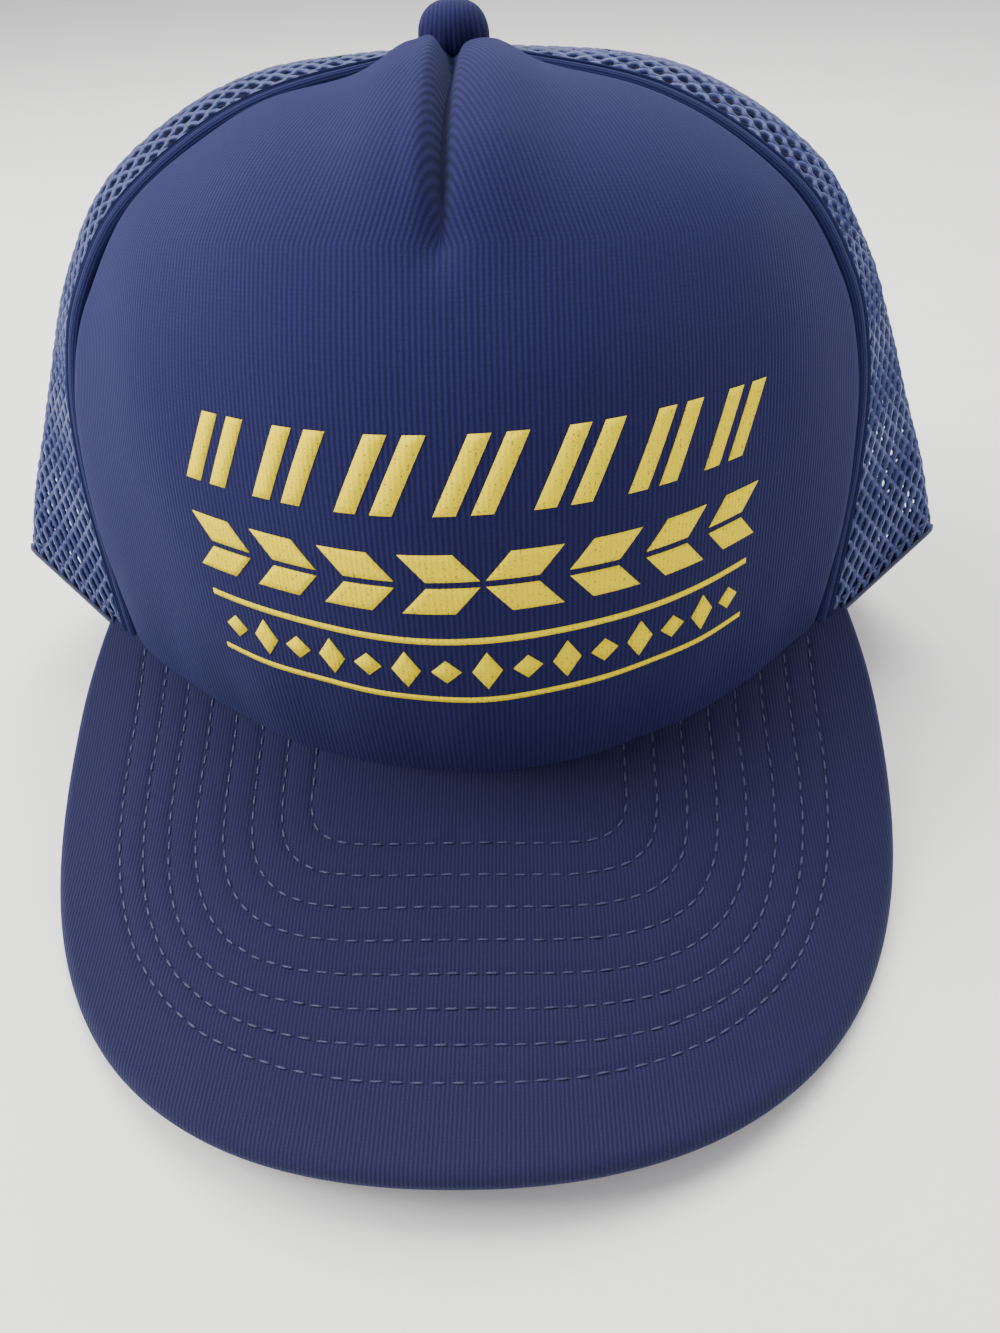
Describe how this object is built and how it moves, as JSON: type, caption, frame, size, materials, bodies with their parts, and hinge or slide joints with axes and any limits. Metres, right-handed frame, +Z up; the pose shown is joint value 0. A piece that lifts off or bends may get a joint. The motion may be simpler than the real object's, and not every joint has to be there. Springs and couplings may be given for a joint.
{
  "type": "baseball cap",
  "caption": "Trucker cap with a foam-backed front panel, open net sides and back, a stitched curved visor and an adjustable snap strap over a rear opening.",
  "frame": {"origin": "on the table under the middle of the cap's box, with the cap standing on its visor and rear edge", "axes": "+Z up, -Y towards the visor's front, +X to the right of someone who faces the front of the cap"},
  "size_m": [0.2208, 0.2308, 0.1439],
  "materials": {
    "knit": "matt fine-ribbed knit, navy blue",
    "foam": "open-cell foam, matt",
    "tape": "woven twill tape, matt",
    "net": "open nylon net, slightly glossy yarn",
    "welt": "fine diagonal twill, matt",
    "sweatband": "brushed woven band, matt",
    "label": "plain woven satin, blank",
    "board": "smooth stiff sheet",
    "under_cloth": "matt fine-ribbed knit, navy blue",
    "thread": "twisted polyester thread, slight sheen",
    "button_cloth": "matt knit stretched over the shell",
    "button_metal": "plain pressed steel",
    "strap_plastic": "satin moulded polyethylene"
  },
  "bodies": {
    "root": {"front_panel": "knit", "front_foam": "foam", "dart_tape": "tape", "side_mesh_right": "net", "side_mesh_left": "net", "rear_mesh_right": "net", "rear_mesh_left": "net", "welt_right": "welt", "welt_left": "welt", "front_seam_tape_right": "tape", "front_seam_tape_left": "tape", "side_seam_tape_right": "tape", "side_seam_tape_left": "tape", "rear_seam_tape": "tape", "edge_binding_right": "tape", "edge_binding_left": "tape", "arch_binding": "tape", "sweatband": "sweatband", "inner_label": "label", "visor_board": "board", "visor_foam": "foam", "visor_top_cloth": "knit", "visor_under_cloth": "under_cloth", "visor_stitching": "thread", "top_button_cover": "button_cloth", "top_button_shell": "button_metal", "top_button_rivet": "button_metal", "peg_strap_anchor": "strap_plastic", "hole_strap_anchor": "strap_plastic"},
    "peg_strap_half": {"peg_strap": "strap_plastic"},
    "hole_strap_half": {"hole_strap": "strap_plastic"}
  },
  "joints": [
    {"name": "peg_strap_flex", "type": "hinge", "parent": "root", "child": "peg_strap_half", "pos_m": [-0.0408, 0.1024, 0.0102], "axis": [0, 0, -1], "range_deg": [0, 25], "stiffness_Nm_per_rad": 0.01},
    {"name": "hole_strap_flex", "type": "hinge", "parent": "root", "child": "hole_strap_half", "pos_m": [0.0408, 0.1042, 0.0102], "axis": [0, 0, -1], "range_deg": [0, 55], "stiffness_Nm_per_rad": 0.01}
  ]
}
